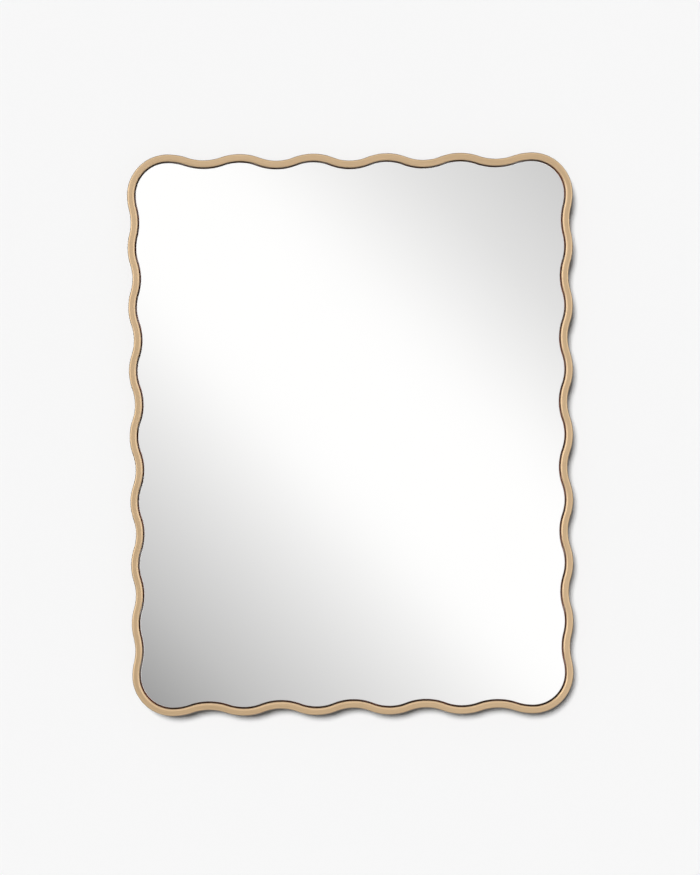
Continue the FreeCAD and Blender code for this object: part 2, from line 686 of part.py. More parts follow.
def make_ring(name, sign):
    """Wire ring with a straight bar in the strap's loop; it hangs down from its hinge line."""
    body = doc.addObject("PartDesign::Body", name)
    half = size("ring_width") / 2
    bend = size("ring_bend")
    shoulder = size("ring_height") - half
    shapes = [segment((bend - half, 0), (half - bend, 0)), arc_of((half - bend, -bend), bend, 0, 90),
              segment((half, -bend), (half, -shoulder)), arc_of((0, -shoulder), half, 180, 360),
              segment((-half, -shoulder), (-half, -bend)), arc_of((bend - half, -bend), bend, 90, 180)]
    path = drawn_sketch(body, f"{name}_path", "XZ_Plane", shapes)
    join_ends(path, [("Tangent", 0, 2, 1, 2), ("Tangent", 1, 1, 2, 1), ("Tangent", 2, 2, 3, 2),
                     ("Tangent", 3, 1, 4, 1), ("Tangent", 4, 2, 5, 2), ("Tangent", 5, 1, 0, 1)])
    path.addConstraint(Sketcher.Constraint("PointOnObject", 0, 1, -1))
    path.addConstraint(Sketcher.Constraint("Symmetric", 0, 1, 0, 2, -2))
    path.addConstraint(Sketcher.Constraint("Vertical", 2))
    path.addConstraint(Sketcher.Constraint("Equal", 1, 5))
    limit(path, "Sizes.ring_bend", "Radius", 1, bend)
    limit(path, "Sizes.ring_width / 2", "Radius", 3, half)
    limit(path, "Sizes.ring_height - Sizes.ring_width / 2", "DistanceY", 3, 3, -1, 1, shoulder)
    circle = Part.Circle(Vector(), Vector(0, 0, 1), size("ring_wire") / 2)
    section = drawn_sketch(body, f"{name}_section", "YZ_Plane", [circle])
    section.addConstraint(Sketcher.Constraint("Coincident", 0, 3, -1, 1))
    limit(section, "Sizes.ring_wire / 2", "Radius", 0, size("ring_wire") / 2)
    wire = body.newObject("PartDesign::AdditivePipe", f"{name}_wire")
    wire.Profile = section
    wire.Spine = path
    hang(body, sign)
    doc.recompute()
    return node(body, name)


# Checking and writing


def check():
    """Stop if an object failed or a sub-part's shape is empty or broken."""
    failed = [item.Label for item in doc.Objects if {"Invalid", "Error"} & set(item.State)]
    if failed:
        raise RuntimeError(f"failed: {failed}")
    for item in nodes:
        if item.Shape.isNull() or not item.Shape.isValid() or not item.Shape.Solids:
            raise RuntimeError(f"no valid solid: {item.Label}")


def write():
    os.makedirs("parts", exist_ok=True)
    for item in nodes:
        item.Shape.exportStep(f"parts/{item.Label}.step")
        box = item.Shape.BoundBox
        print(f"{item.Label}: {len(item.Shape.Solids)} solid(s), {item.Shape.Volume:.0f} mm3, "
              f"{box.XLength:.1f} x {box.YLength:.1f} x {box.ZLength:.1f} mm")


def main():
    fill_sheet()
    for side in SIDES:
        make_length(side)
    for corner in CORNERS:
        make_corner_spigot(corner)
        make_wall_bumper(corner)
    make_glass()
    make_tapes()
    make_board()
    make_tabs()
    make_welds()
    screw = make_screw()
    place_screws(screw, "tab_screws", tab_holes(), TAB_BACK)
    place_screws(screw, "hanger_screws", hanger_holes(), f"{BOARD_BACK} + Sizes.strap_thickness")
    for hand, sign in (("left", -1), ("right", 1)):
        make_strap(f"{hand}_hanger_strap", sign)
        make_ring(f"{hand}_hanger_ring", sign)
    doc.recompute()
    check()
    write()


main()
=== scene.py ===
"""Looks of the wavy wall mirror: satin brass tube, silvered glass and the fittings behind them.

Metres, in the part's own frame: X right, Z up, the glass faces -Y and the wall is the plane Y = 0.
"""

import math

import bpy
from mathutils import Matrix, Vector


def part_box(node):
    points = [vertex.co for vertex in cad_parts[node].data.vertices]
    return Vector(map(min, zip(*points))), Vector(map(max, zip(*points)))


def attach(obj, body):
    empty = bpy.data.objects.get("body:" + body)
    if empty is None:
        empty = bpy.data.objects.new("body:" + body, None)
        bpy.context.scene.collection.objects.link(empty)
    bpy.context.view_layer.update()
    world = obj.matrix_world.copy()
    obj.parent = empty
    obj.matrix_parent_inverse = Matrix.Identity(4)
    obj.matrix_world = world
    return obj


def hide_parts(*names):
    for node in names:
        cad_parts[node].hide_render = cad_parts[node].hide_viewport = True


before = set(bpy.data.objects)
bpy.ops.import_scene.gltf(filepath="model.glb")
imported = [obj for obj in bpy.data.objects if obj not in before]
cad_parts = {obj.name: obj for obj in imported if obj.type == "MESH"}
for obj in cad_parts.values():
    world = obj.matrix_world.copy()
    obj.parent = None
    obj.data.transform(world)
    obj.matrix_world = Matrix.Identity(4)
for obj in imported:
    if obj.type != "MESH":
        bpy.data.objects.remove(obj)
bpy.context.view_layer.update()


def depths(node):
    """Front and back of a CAD node along Y."""
    low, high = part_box(node)
    return low.y, high.y


# Sizes of the wavy line and of the pieces that follow it
WIDTH, HEIGHT = 0.600, 0.760
CORNER_RADIUS = 0.055
WAVES = {"level": 5, "upright": 8}
MID_PITCH = {"level": 0.099, "upright": 0.089}
MID_DEPTH = {"level": 0.0095, "upright": 0.0077}
END_DEPTH = {"level": 0.0081, "upright": 0.0044}
RAIL_WIDTH, RAIL_WALL = 0.0095, 0.0012
FACE_ROUNDING, BACK_ROUNDING = 0.003, 0.0015
RAIL_FRONT, RAIL_BACK = depths("top_rail")
GLASS_FRONT, GLASS_BACK = depths("mirror_glass")
GLASS_GAP, GLASS_ARRIS = 0.002, 0.0005
WELD_LENGTH, WELD_LEG, WELD_SINK = 0.012, 0.002, 0.0001

# A weld bead has ripples bowed across it, a slow swell along it and ends that draw in
RIPPLE_PITCH, RIPPLE_DEPTH, RIPPLE_BOW = 0.0010, 0.055, 0.9
SWELL_PITCH, SWELL_DEPTH = 0.0047, 0.05
BEAD_END_POWER, BEAD_END_LEAST = 6, 0.2

# The sides in clockwise order from the top, as seen from the front
SIDES = ["top_rail", "right_stile", "bottom_rail", "left_stile"]
CORNER_SIGNS = [(-1, 1), (1, 1), (1, -1), (-1, -1)]
QUARTER = math.pi / 2

# Fineness of the meshes
STEP = 0.002
ROUNDING_STEPS = 8
WELD_STEPS, WELD_ROUND_STEPS = 96, 8
SHARP_ANGLE = 30

# Camera, fitted to the frame's line in the photograph; angles in degrees
CAMERA_PLACE = (-0.0205, -2.4707, 0.0913)
CAMERA_YAW, CAMERA_PITCH, CAMERA_ROLL = -0.428, -2.191, -0.372
FOCAL_PIXELS = 1809.7
IMAGE_HEIGHT = 875
SENSOR = 36.0

# Light: where each sun shines to, its strength and its spread in degrees; levels of 1 are white
KEY_TOWARDS, KEY_STRENGTH, KEY_SPREAD = (0.25, 1, -0.385), 3.18, 20
REAR_TOWARDS, REAR_STRENGTH, REAR_SPREAD = (-0.3, -1, -0.5), 1.6, 30
BACKGROUND = 0.93
AMBIENT = 0.12

# What metal and glass show of the studio. Straight ahead of the glass stands a bright band, which
# falls off by its slope, up plus across: (side, start, softness, rate). Beside and above it hang
# soft strips, by the axis and the side of it that they hang on: (axis, side, strength). Slopes are
# taken over a direction's way ahead, or over LEAST_AHEAD where that is more.
BAND_LEVEL, BAND_LEAST = 1.037, 0.3
BAND_FALLS = [
    (-1, 0.064, 0.042, 2.85),
    (-1, 0.2305, 0.0, 0.62),
    (1, 0.056, 0.053, 2.57),
    (1, 0.1545, 0.0, -0.62),
]
BAND_REACH = (0.25, 0.6)
LEAST_AHEAD = 0.02
FRONT_LEVEL, SIDE_LEVEL, SHADOW_LEVEL, REAR_LEVEL = 0.82, 0.16, 0.02, 0.66
STRIPS = [("X", -1, 0.95), ("X", 1, 0.65), ("Z", 1, 0.35)]

# Where the levels and strips change over, as ranges of a direction's parts
SIDE_RANGE, REAR_RANGE = (-0.45, 0.12), (0.4, 0.95)
SHADOW_RANGE = (0.1, 0.6)
STRIP_SIDE, STRIP_BACK = (0.58, 0.74), (-0.1, 0.0)
STRIP_FOOT, STRIP_HEAD = (-0.35, -0.1), (0.75, 0.95)

# Stage: FLOOR_GLOW is the share of the floor that is pale by itself, and FLOOR_SHINE the share of it
# that metal and glass show. A count of bounces under NO_BOUNCE is none.
WALL_PLACE, WALL_RADIUS, WALL_FADE = (0, 0.0005, 0), 1.7, 1.2
FLOOR_PLACE, FLOOR_RADIUS, FLOOR_FADE = (0, 0, -1.2), 3.0, 1.2
WALL_LEVEL, FLOOR_LEVEL, FLOOR_GLOW, FLOOR_SHINE = 0.9, 0.85, 0.75, 0.3
DISC_SIDES = 96
NO_BOUNCE = 0.5

# Materials: the usual range of a noise, and the range of a normal's Y where the board's back begins
NOISE_RANGE = (0.3, 0.7)
BACK_RANGE = (0.5, 0.7)
GLASS_IOR = 1.52


# The wavy line


def kind_of(side):
    return "level" if side in ("top_rail", "bottom_rail") else "upright"


def side_bends(side):
    """A side's waves as (radius, turn) arcs of the middle line; a turn to the right is positive."""
    kind = kind_of(side)
    waves = WAVES[kind]
    half = waves / 2
    span = (WIDTH if kind == "level" else HEIGHT) - 2 * CORNER_RADIUS
    easing = (MID_PITCH[kind] * half - span / 2) / half**3
    crests = [MID_PITCH[kind] * k - easing * k**3 for k in (i - half for i in range(waves + 1))]
    bends = []
    for i, (start, end) in enumerate(zip(crests, crests[1:])):
        share = (i - (waves - 1) / 2) / ((waves - 1) / 2)
        depth = MID_DEPTH[kind] + (END_DEPTH[kind] - MID_DEPTH[kind]) * share**2
        run = (end - start) / 2
        radius = (run**2 + depth**2) / (4 * depth)
        turn = 2 * math.atan2(depth, run)
        bends += [(radius, turn), (radius, -2 * turn), (radius, turn)]
    return bends


def corner_bend(turn):
    return (CORNER_RADIUS - RAIL_WIDTH / 2, turn)


def rightward(heading):
    """Unit vector to the right of a heading, in the plane of the frame."""
    return Vector((math.sin(heading), 0, -math.cos(heading)))


def corner_start(index, heading):
    """Place on the tube's middle line at a corner, where it runs at a heading."""
    right_sign, up_sign = CORNER_SIGNS[index]
    half_width, half_height = WIDTH / 2 - CORNER_RADIUS, HEIGHT / 2 - CORNER_RADIUS
    centre = Vector((right_sign * half_width, 0, up_sign * half_height))
    return centre - rightward(heading) * (CORNER_RADIUS - RAIL_WIDTH / 2)


def stations(bends, point, heading):
    """Close-set (place, outward direction, way so far) along the bends."""
    way = 0.0
    found = [(point, -rightward(heading), way)]
    for radius, turn in bends:
        reach = math.copysign(radius, turn)
        centre = point + rightward(heading) * reach
        length = radius * abs(turn)
        steps = max(2, math.ceil(length / STEP))
        for i in range(1, steps + 1):
            side = rightward(heading - turn * i / steps)
            found.append((centre - side * reach, -side, way + length * i / steps))
        way += length
        heading -= turn
        point = found[-1][0]
    return found


def side_line(side):
    """Stations of one length of tube, from the middle of one corner to the middle of the next."""
    index = SIDES.index(side)
    heading = QUARTER / 2 - index * QUARTER
    bends = [corner_bend(QUARTER / 2), *side_bends(side), corner_bend(QUARTER / 2)]
    return stations(bends, corner_start(index, heading), heading)


def closed_line():
    """Stations of the whole closed line, with no doubled end."""
    bends = []
    for side in SIDES:
        bends += side_bends(side) + [corner_bend(QUARTER)]
    return stations(bends, corner_start(0, 0.0), 0.0)[:-1]


def station_at(line, way):
    """Place and outward direction at a way along a line."""
    after = next(i for i, station in enumerate(line) if station[2] > way)
    (place, outward, start), (next_place, next_outward, end) = line[after - 1], line[after]
    share = (way - start) / (end - start)
    return place.lerp(next_place, share), outward.lerp(next_outward, share).normalized()


# Meshes


def new_piece(name, places, faces, materials, kinds=None, uvs=None, normals=None):
    """A mesh object on the mirror's body.

    kinds number each face's material; uvs and normals are per corner.
    """
    mesh = bpy.data.meshes.new(name)
    mesh.from_pydata(places, [], faces)
    for material in materials:
        mesh.materials.append(material)
    if kinds:
        mesh.polygons.foreach_set("material_index", kinds)
    if uvs:
        layer = mesh.uv_layers.new(name="UVMap")
        layer.data.foreach_set("uv", [value for uv in uvs for value in uv])
    mesh.polygons.foreach_set("use_smooth", [True] * len(mesh.polygons))
    if normals:
        mesh.normals_split_custom_set(normals)
    else:
        mesh.set_sharp_from_angle(angle=math.radians(SHARP_ANGLE))
    piece = bpy.data.objects.new(name, mesh)
    bpy.context.scene.collection.objects.link(piece)
    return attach(piece, "mirror")


def tube_section(inset):
    """Rounded rectangle of the tube, inset from its outside.

    Each point is (across, depth, across normal, depth normal).
    """
    half_width = RAIL_WIDTH / 2 - inset
    half_depth = (RAIL_BACK - RAIL_FRONT) / 2 - inset
    section = []
    for number, (across_sign, depth_sign) in enumerate(((1, 1), (-1, 1), (-1, -1), (1, -1))):
        rounding = (BACK_ROUNDING if depth_sign > 0 else FACE_ROUNDING) - inset
        for i in range(ROUNDING_STEPS + 1):
            angle = number * QUARTER + QUARTER * i / ROUNDING_STEPS
            across, depth = math.cos(angle), math.sin(angle)
            section.append((across_sign * (half_width - rounding) + across * rounding,
                            depth_sign * (half_depth - rounding) + depth * rounding, across, depth))
    return section


def ways_round(section):
    """Way round a closed section to each of its points, and then back to the first."""
    ways = [0.0]
    for here, there in zip(section, section[1:] + section[:1]):
        ways.append(ways[-1] + math.dist(here[:2], there[:2]))
    return ways


def tube(side, material):
    """One bent length of tube with its bore and its two sawn ends, closed all round."""
    line = side_line(side)
    middle = Vector((0, (RAIL_BACK + RAIL_FRONT) / 2, 0))
    sections = [tube_section(0.0), tube_section(RAIL_WALL)]
    ways = [ways_round(section) for section in sections]
    size, rows = len(sections[0]), len(line)
    places = [middle + place + outward * across + Vector((0, depth, 0))
              for section in sections
              for place, outward, _ in line
              for across, depth, *_ in section]

    def corner(skin, row, i):
        """Vertex, texture place and normal of a corner on skin 0, the outside, or 1, the bore."""
        _, outward, way = line[row]
        across, depth = sections[skin][i % size][2:]
        normal = (outward * across + Vector((0, depth, 0))) * (1 - 2 * skin)
        return (skin * rows + row) * size + i % size, (way, ways[skin][i]), normal

    quads = []
    for i in range(size):
        for row in range(rows - 1):
            quads.append([corner(0, row + 1, i), corner(0, row + 1, i + 1),
                          corner(0, row, i + 1), corner(0, row, i)])
            quads.append([corner(1, row, i), corner(1, row, i + 1),
                          corner(1, row + 1, i + 1), corner(1, row + 1, i)])
        for row, sign in ((0, -1), (rows - 1, 1)):
            along = line[row][1].cross(Vector((0, -1, 0))) * sign
            ends = [(0, i), (0, i + 1), (1, i + 1), (1, i)][::-sign]
            quads.append([(*corner(skin, row, j)[:2], along) for skin, j in ends])
    faces = [[vertex for vertex, _, _ in quad] for quad in quads]
    uvs = [uv for quad in quads for _, uv, _ in quad]
    normals = [normal for quad in quads for _, _, normal in quad]
    piece = new_piece(f"{side}_tube", places, faces, [material], uvs=uvs, normals=normals)
    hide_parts(side)


def glass(front, arris, edge, back):
    """The silvered plate: mirror face, polished arris, ground edge and painted back."""
    line = closed_line()
    rim = -RAIL_WIDTH / 2 - GLASS_GAP
    rows = [(rim - GLASS_ARRIS, GLASS_FRONT), (rim, GLASS_FRONT + GLASS_ARRIS), (rim, GLASS_BACK)]
    count = len(line)
    places = [place + outward * offset + Vector((0, depth, 0))
              for offset, depth in rows for place, outward, _ in line]
    faces = [tuple(range(count - 1, -1, -1)), tuple(range(2 * count, 3 * count))]
    kinds = [0, 3]
    for row in range(2):
        here, beyond = row * count, (row + 1) * count
        for i in range(count):
            after = (i + 1) % count
            faces.append((here + i, here + after, beyond + after, beyond + i))
            kinds.append(1 + row)
    piece = new_piece("silvered_plate", places, faces, [front, arris, edge, back], kinds)
    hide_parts("mirror_glass")


def bead(line, middle, tab_back):
    """Places and faces of one rippled weld bead, on the inside of the tube by a tab's middle."""
    start = min(line, key=lambda station: (station[0] - middle).length)[2] - WELD_LENGTH / 2
    size = WELD_ROUND_STEPS + 2
    places, faces = [], []
    for row in range(WELD_STEPS + 1):
        share = row / WELD_STEPS
        way = WELD_LENGTH * share
        place, outward = station_at(line, start + way)
        root = place - outward * (RAIL_WIDTH / 2 - WELD_SINK) + Vector((0, tab_back - WELD_SINK, 0))
        ending = max(BEAD_END_LEAST, math.sqrt(1 - (2 * share - 1)**BEAD_END_POWER))
        swell = 1 - SWELL_DEPTH * (1 + math.sin(2 * math.pi * way / SWELL_PITCH))
        places.append(root)
        for i in range(WELD_ROUND_STEPS + 1):
            angle = QUARTER * i / WELD_ROUND_STEPS
            bow = RIPPLE_BOW * math.sin(2 * angle)
            ripple = abs(math.sin(math.pi * (way / RIPPLE_PITCH + bow)))
            radius = WELD_LEG * ending * swell * (1 - RIPPLE_DEPTH * (1 - ripple))
            inward, backward = radius * math.cos(angle), radius * math.sin(angle)
            places.append(root - outward * inward + Vector((0, backward, 0)))
        for i in range(size if row else 0):
            here, after = row * size + i, row * size + (i + 1) % size
            faces.append((here, here - size, after - size, after))
    last = WELD_STEPS * size
    faces += [tuple(range(size - 1, -1, -1)), tuple(range(last, last + size))]
    return places, faces


def weld_beads(material):
    """The beads that hold the tabs in the angles between their backs and the tube."""
    places, faces = [], []
    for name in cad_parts:
        if name.startswith("fixing_tab"):
            low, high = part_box(name)
            side = next(side for side in SIDES if side.startswith(name.split("_")[2]))
            new_places, new_faces = bead(side_line(side), (low + high) / 2, high.y)
            faces += [tuple(vertex + len(places) for vertex in face) for face in new_faces]
            places += new_places
    piece = new_piece("weld_beads", places, faces, [material])
    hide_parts("tab_welds")


# Materials; a noise or cell scale is the number of its features to the metre


class Shading:
    """A material or world with short ways to add its nodes."""

    def __init__(self, owner):
        owner.use_nodes = True
        self.owner = owner
        self.tree = owner.node_tree
        self.tree.nodes.clear()

    def add(self, kind, inputs=None, **settings):
        node = self.tree.nodes.new(kind)
        for name, value in settings.items():
            setattr(node, name, value)
        for name, value in (inputs or {}).items():
            self.feed(node.inputs[name], value)
        return node

    def feed(self, socket, value):
        if isinstance(value, bpy.types.NodeSocket):
            self.tree.links.new(value, socket)
        else:
            socket.default_value = value

    def place(self):
        """Place in the piece, in metres."""
        return self.add("ShaderNodeTexCoord").outputs["Object"]

    def math(self, operation, *values):
        return self.add("ShaderNodeMath", dict(enumerate(values)), operation=operation).outputs[0]

    def times(self, first, *others):
        for other in others:
            first = self.math("MULTIPLY", first, other)
        return first

    def ramp(self, value, start, end, low=0.0, high=1.0):
        """Value carried smoothly from start..end to low..high, and held beyond the ends."""
        limits = {"Value": value, "From Min": start, "From Max": end, "To Min": low, "To Max": high}
        return self.add("ShaderNodeMapRange", limits, interpolation_type="SMOOTHSTEP").outputs[0]

    def spread(self, noise, low=0.0, high=1.0):
        """The usual range of a noise carried smoothly to low..high."""
        return self.ramp(noise, *NOISE_RANGE, low, high)

    def mix(self, share, first, second):
        """Number between two numbers."""
        return self.math("ADD", first, self.times(share, self.math("SUBTRACT", second, first)))

    def blend(self, share, first, second):
        """Colour between two colours."""
        node = self.add("ShaderNodeMix", data_type="RGBA")
        for number, value in ((0, share), (6, first), (7, second)):
            self.feed(node.inputs[number], value)
        return node.outputs[2]

    def noise(self, vector, scale=1.0, detail=3.0, roughness=0.55):
        settings = {"Vector": vector, "Scale": scale, "Detail": detail, "Roughness": roughness}
        return self.add("ShaderNodeTexNoise", settings).outputs[0]

    def cells(self, scale, output):
        """An output of a cell texture, in the piece."""
        settings = {"Vector": self.place(), "Scale": scale}
        return self.add("ShaderNodeTexVoronoi", settings).outputs[output]

    def stretched(self, vector, scale):
        return self.add("ShaderNodeMapping", {"Vector": vector, "Scale": scale}).outputs[0]

    def bump(self, height, distance, strength):
        settings = {"Height": height, "Distance": distance, "Strength": strength}
        return self.add("ShaderNodeBump", settings).outputs[0]

    def surface(self, **inputs):
        """Principled surface; an underscore in a name stands for a space."""
        named = {name.replace("_", " "): value for name, value in inputs.items()}
        shader = self.add("ShaderNodeBsdfPrincipled", named)
        self.add("ShaderNodeOutputMaterial", {"Surface": shader.outputs[0]})
        return self.owner


def new_shading(name):
    return Shading(bpy.data.materials.new(name))


def grey(level):
    return (level, level, level, 1)


def brass_material():
    """Satin brass-tone metal, brushed along the tube and lacquered."""
    s = new_shading("satin_brass")
    uv = s.add("ShaderNodeUVMap", uv_map="UVMap").outputs[0]
    streaks = s.noise(s.stretched(uv, (14, 1500, 1)), detail=4.0, roughness=0.6)
    patches = s.noise(s.stretched(uv, (9, 60, 1)), detail=2.0)
    tone = s.math("ADD", s.times(streaks, 0.6), s.times(patches, 0.4))
    colour = s.blend(s.spread(tone), (0.69, 0.478, 0.266, 1), (0.778, 0.552, 0.322, 1))
    return s.surface(Base_Color=colour, Metallic=1.0, Roughness=s.spread(streaks, 0.36, 0.44),
                     Coat_Weight=1.0, Coat_Roughness=0.12, Normal=s.bump(streaks, 0.00002, 0.5))


def plain_brass_material():
    """The same plated finish on small pieces, where it is unbrushed and duller."""
    s = new_shading("plated_brass")
    mottle = s.noise(s.place(), 320.0, 4.0)
    grain = s.noise(s.place(), 2600.0, 2.0)
    colour = s.blend(s.spread(mottle), (0.52, 0.36, 0.2, 1), (0.66, 0.48, 0.28, 1))
    return s.surface(Base_Color=colour, Metallic=1.0, Roughness=s.spread(mottle, 0.4, 0.55),
                     Normal=s.bump(grain, 0.00003, 0.4))


def weld_material():
    """Weld metal under the plating, a little scaled."""
    s = new_shading("plated_weld")
    grain = s.noise(s.place(), 2200.0, 2.0)
    scale = s.noise(s.place(), 420.0)
    colour = s.blend(s.spread(scale), (0.40, 0.27, 0.15, 1), (0.62, 0.45, 0.26, 1))
    return s.surface(Base_Color=colour, Metallic=1.0, Roughness=s.spread(scale, 0.34, 0.55),
                     Normal=s.bump(grain, 0.00004, 0.5))


def mirror_material():
    """Silvered face with the faintest haze."""
    s = new_shading("silvered_face")
    haze = s.noise(s.place(), 7.0)
    colour = s.blend(haze, (0.960, 0.957, 0.952, 1), (0.973, 0.970, 0.965, 1))
    return s.surface(Base_Color=colour, Metallic=1.0, Roughness=s.ramp(haze, 0.4, 0.7, 0.0, 0.012))


def arris_material():
    """Polished arris of the plate. Its pale matt colour stands in for the light that the arris sends
    back off the silver behind it: a painted highlight.
    """
    s = new_shading("glass_arris")
    grain = s.noise(s.place(), 1800.0, 2.0)
    shade = s.noise(s.place(), 40.0, 2.0)
    # Pale base colour: a painted highlight in place of the light off the silver behind the arris
    colour = s.blend(s.spread(shade), (0.88, 0.92, 0.91, 1), (0.94, 0.96, 0.955, 1))
    return s.surface(Base_Color=colour, Roughness=s.spread(grain, 0.12, 0.26), IOR=GLASS_IOR,
                     Normal=s.bump(grain, 0.00002, 0.3))


def glass_edge_material():
    """Ground edge of the plate, sealed with brown edge paint. The paint's colour is made near black
    so that the gap round the plate reads dark: partly the paint's own colour, partly painted shade.
    """
    s = new_shading("glass_edge")
    grain = s.noise(s.place(), 1800.0, 2.0)
    shade = s.noise(s.place(), 90.0)
    # Near-black brown: partly the edge paint's colour, partly painted shade for the gap round the
    # plate
    colour = s.blend(s.spread(shade), (0.040, 0.018, 0.012, 1), (0.075, 0.036, 0.024, 1))
    return s.surface(Base_Color=colour, Roughness=s.spread(grain, 0.45, 0.65), IOR=GLASS_IOR,
                     Normal=s.bump(grain, 0.00003, 0.4))


def mirror_back_material():
    """Grey protective paint on the silver."""
    s = new_shading("mirror_back_paint")
    shade = s.noise(s.place(), 60.0)
    colour = s.blend(shade, (0.16, 0.17, 0.18, 1), (0.22, 0.23, 0.24, 1))
    return s.surface(Base_Color=colour, Roughness=s.spread(shade, 0.45, 0.6))


def board_material():
    """Fibreboard with matt black paint on its back, and a brown seal coat on its face and edges."""
    s = new_shading("black_fibreboard")
    fibres = s.noise(s.stretched(s.place(), (900, 900, 260)), detail=4.0, roughness=0.65)
    roller = s.noise(s.stretched(s.place(), (14, 14, 4)))
    tone = s.ramp(s.math("ADD", s.times(fibres, 0.55), s.times(roller, 0.45)), 0.35, 0.65)
    paint = s.blend(tone, (0.013, 0.012, 0.012, 1), (0.032, 0.030, 0.029, 1))
    sealed = s.blend(tone, (0.27, 0.095, 0.060, 1), (0.36, 0.140, 0.090, 1))
    normal = s.add("ShaderNodeTexCoord").outputs["Normal"]
    facing = s.add("ShaderNodeSeparateXYZ", {0: normal}).outputs[1]
    colour = s.blend(s.ramp(facing, *BACK_RANGE), sealed, paint)
    return s.surface(Base_Color=colour, Roughness=s.spread(fibres, 0.5, 0.68),
                     Normal=s.bump(fibres, 0.0001, 0.5))


def zinc_material():
    """Bright zinc plate with a faint crystal mottle and rub marks."""
    s = new_shading("zinc_plate")
    level = s.add("ShaderNodeSeparateColor", {"Color": s.cells(520.0, "Color")}).outputs[0]
    rubs = s.noise(s.stretched(s.place(), (900, 900, 120)))
    colour = s.blend(s.ramp(level, 0.0, 1.0), (0.56, 0.575, 0.59, 1), (0.70, 0.71, 0.715, 1))
    return s.surface(Base_Color=colour, Metallic=1.0, Roughness=s.spread(rubs, 0.24, 0.4),
                     Normal=s.bump(rubs, 0.00002, 0.4))


def steel_material():
    """Oiled mill steel of the spigots."""
    s = new_shading("mill_steel")
    scale = s.noise(s.place(), 180.0, 5.0)
    colour = s.blend(s.ramp(scale, 0.35, 0.65), (0.19, 0.185, 0.18, 1), (0.34, 0.335, 0.33, 1))
    return s.surface(Base_Color=colour, Metallic=1.0, Roughness=s.spread(scale, 0.35, 0.6))


def foam_material():
    """White closed-cell foam of the mounting tape."""
    s = new_shading("white_foam")
    cells = s.cells(2400.0, "Distance")
    colour = s.blend(s.ramp(cells, 0.0, 0.6), (0.70, 0.70, 0.68, 1), (0.84, 0.84, 0.82, 1))
    return s.surface(Base_Color=colour, Roughness=0.85, Normal=s.bump(cells, 0.0002, 0.6))


def rubber_material():
    """Soft dark rubber of the wall bumpers."""
    s = new_shading("bumper_rubber")
    grain = s.noise(s.place(), 1500.0)
    colour = s.blend(s.spread(grain), (0.020, 0.020, 0.021, 1), (0.042, 0.042, 0.043, 1))
    return s.surface(Base_Color=colour, Roughness=s.spread(grain, 0.65, 0.85),
                     Normal=s.bump(grain, 0.00004, 0.5))


# Stage and light


def disc(name, centre, turn, radius, material):
    """A flat round stage piece."""
    mesh = bpy.data.meshes.new(name)
    angles = [2 * math.pi * i / DISC_SIDES for i in range(DISC_SIDES)]
    rim = [(radius * math.cos(angle), radius * math.sin(angle), 0) for angle in angles]
    mesh.from_pydata(rim, [], [tuple(range(DISC_SIDES))])
    mesh.materials.append(material)
    piece = bpy.data.objects.new(name, mesh)
    piece.matrix_world = Matrix.Translation(centre) @ turn.to_4x4()
    bpy.context.scene.collection.objects.link(piece)


def shiny_rays(s, path):
    """1 for rays from metal and glass with no matt surface between them and the eye."""
    shiny = s.math("MAXIMUM", path["Is Glossy Ray"], path["Is Transmission Ray"])
    return s.times(shiny, s.math("LESS_THAN", path["Diffuse Depth"], NO_BOUNCE))


def stage_material(name, shade, fade, radius, front_only):
    """Pale stage surface that fades out towards its rim.

    With front_only it shows to the eye alone and from its front; else metal and glass show it too.
    """
    s = new_shading(name)
    way_out = s.add("ShaderNodeVectorMath", {0: s.place()}, operation="LENGTH").outputs["Value"]
    shown = s.ramp(way_out, fade, radius, 1.0, 0.0)
    path = s.add("ShaderNodeLightPath").outputs
    seen = path["Is Camera Ray"]
    if front_only:
        from_behind = s.add("ShaderNodeNewGeometry").outputs["Backfacing"]
        seen = s.times(seen, s.math("SUBTRACT", 1.0, from_behind))
    else:
        seen = s.math("MAXIMUM", seen, s.times(shiny_rays(s, path), FLOOR_SHINE))
    shown = s.times(shown, seen)
    clear = s.add("ShaderNodeBsdfTransparent").outputs[0]
    mixed = s.add("ShaderNodeMixShader", {0: shown, 1: clear, 2: shade(s)})
    s.add("ShaderNodeOutputMaterial", {"Surface": mixed.outputs[0]})
    return s.owner


def wall_shade(s):
    return s.add("ShaderNodeBsdfDiffuse", {"Color": grey(WALL_LEVEL)}).outputs[0]


def floor_shade(s):
    matt = s.add("ShaderNodeBsdfDiffuse", {"Color": grey(FLOOR_LEVEL)}).outputs[0]
    pale = s.add("ShaderNodeEmission", {"Color": grey(BACKGROUND)}).outputs[0]
    return s.add("ShaderNodeMixShader", {0: FLOOR_GLOW, 1: matt, 2: pale}).outputs[0]


def sun(name, towards, strength, spread):
    """A soft sun for matt surfaces; metal and glass show the studio in its place."""
    lamp = bpy.data.lights.new(name, "SUN")
    lamp.energy = strength
    lamp.angle = math.radians(spread)
    holder = bpy.data.objects.new(name, lamp)
    holder.rotation_euler = Vector(towards).to_track_quat("-Z", "Y").to_euler()
    holder.visible_glossy = False
    bpy.context.scene.collection.objects.link(holder)


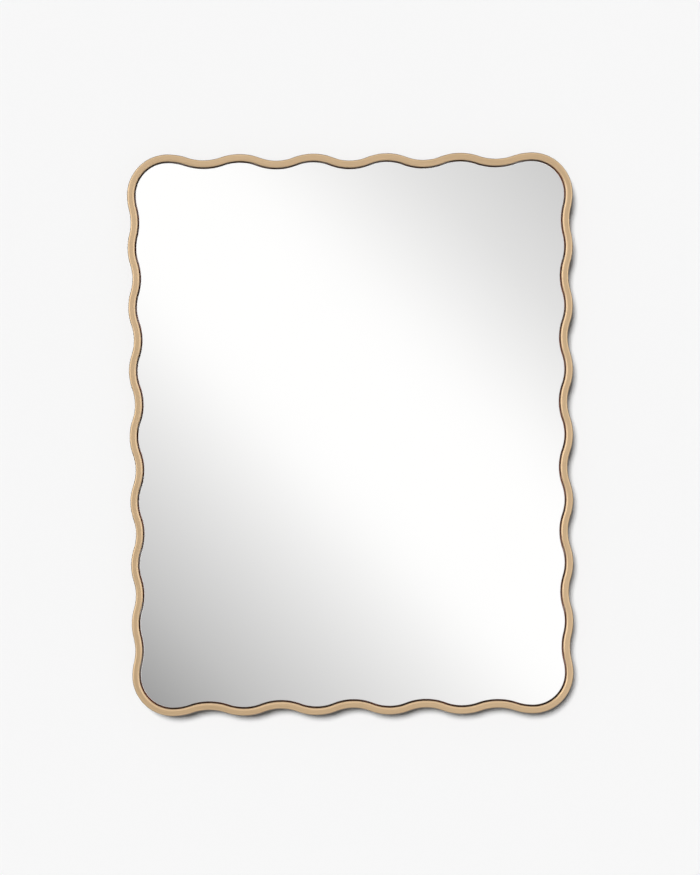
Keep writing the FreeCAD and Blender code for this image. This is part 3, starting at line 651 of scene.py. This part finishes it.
def studio_level(s):
    """What metal and glass show of the studio: the band ahead, the strips and an even rest."""
    direction = s.add("ShaderNodeTexCoord").outputs["Generated"]
    x, y, z = s.add("ShaderNodeSeparateXYZ", {0: direction}).outputs
    ahead = s.math("MAXIMUM", s.times(y, -1.0), LEAST_AHEAD)
    across, up = s.math("DIVIDE", x, ahead), s.math("DIVIDE", z, ahead)
    slant = s.math("ADD", up, across)
    band = BAND_LEVEL
    for side, start, softness, rate in BAND_FALLS:
        past = s.math("SMOOTH_MAX", s.math("SUBTRACT", s.times(slant, side), start), 0.0, softness)
        band = s.math("SUBTRACT", band, s.times(past, rate))
    band = s.math("MAXIMUM", band, BAND_LEAST)
    shadowed = s.ramp(s.math("SUBTRACT", x, z), *SHADOW_RANGE)
    beside = s.mix(shadowed, SIDE_LEVEL, SHADOW_LEVEL)
    level = s.mix(s.ramp(y, *SIDE_RANGE), FRONT_LEVEL, beside)
    level = s.mix(s.ramp(y, *REAR_RANGE), level, REAR_LEVEL)
    in_front = s.ramp(y, *STRIP_BACK, 1.0, 0.0)
    for axis, side, strength in STRIPS:
        sideways, lengthways = (x, z) if axis == "X" else (z, s.math("ABSOLUTE", x))
        breadth = s.ramp(s.times(sideways, side), *STRIP_SIDE)
        length = s.times(s.ramp(lengthways, *STRIP_FOOT), s.ramp(lengthways, *STRIP_HEAD, 1.0, 0.0))
        level = s.math("ADD", level, s.times(breadth, length, in_front, strength))
    off_axis = s.math("SQRT", s.math("ADD", s.times(across, across), s.times(up, up)))
    return s.mix(s.ramp(off_axis, *BAND_REACH, 1.0, 0.0), level, band)


def studio_world():
    """Pale studio: plain to the eye, dim and even for diffuse light, shaded for metal and glass."""
    world = bpy.data.worlds.new("studio")
    bpy.context.scene.world = world
    world.cycles.sampling_method = "NONE"
    s = Shading(world)
    path = s.add("ShaderNodeLightPath").outputs
    level = s.mix(shiny_rays(s, path), AMBIENT, studio_level(s))
    level = s.mix(path["Is Camera Ray"], level, BACKGROUND)
    shader = s.add("ShaderNodeBackground", {"Color": grey(1.0), "Strength": level})
    s.add("ShaderNodeOutputWorld", {"Surface": shader.outputs[0]})


def add_camera():
    camera = bpy.data.cameras.new("camera")
    camera.sensor_width = SENSOR
    camera.lens = FOCAL_PIXELS * SENSOR / IMAGE_HEIGHT
    holder = bpy.data.objects.new("camera", camera)
    yaw = Matrix.Rotation(math.radians(CAMERA_YAW), 4, "Z")
    tilt = Matrix.Rotation(QUARTER + math.radians(CAMERA_PITCH), 4, "X")
    roll = Matrix.Rotation(math.radians(CAMERA_ROLL), 4, "Z")
    holder.matrix_world = Matrix.Translation(CAMERA_PLACE) @ yaw @ tilt @ roll
    bpy.context.scene.collection.objects.link(holder)
    bpy.context.scene.camera = holder


# Scene

brass = brass_material()
for side in SIDES:
    tube(side, brass)
glass(mirror_material(), arris_material(), glass_edge_material(), mirror_back_material())
weld_beads(weld_material())

zinc = zinc_material()
finishes = {
    "fixing_tab": plain_brass_material(),
    "backing_board": board_material(),
    "mounting_tape": foam_material(),
    "corner_spigot": steel_material(),
    "wall_bumper": rubber_material(),
    "tab_screws": zinc,
    "hanger_screws": zinc,
    "left_hanger": zinc,
    "right_hanger": zinc,
}
for start, finish in finishes.items():
    for name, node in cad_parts.items():
        if name.startswith(start):
            node.data.materials.clear()
            node.data.materials.append(finish)

disc("wall", WALL_PLACE, Matrix.Rotation(QUARTER, 3, "X"), WALL_RADIUS,
     stage_material("wall", wall_shade, WALL_FADE, WALL_RADIUS, front_only=True))
disc("floor", FLOOR_PLACE, Matrix.Identity(3), FLOOR_RADIUS,
     stage_material("floor", floor_shade, FLOOR_FADE, FLOOR_RADIUS, front_only=False))
sun("key", KEY_TOWARDS, KEY_STRENGTH, KEY_SPREAD)
sun("rear", REAR_TOWARDS, REAR_STRENGTH, REAR_SPREAD)
studio_world()
add_camera()
bpy.context.scene.view_settings.view_transform = "Standard"
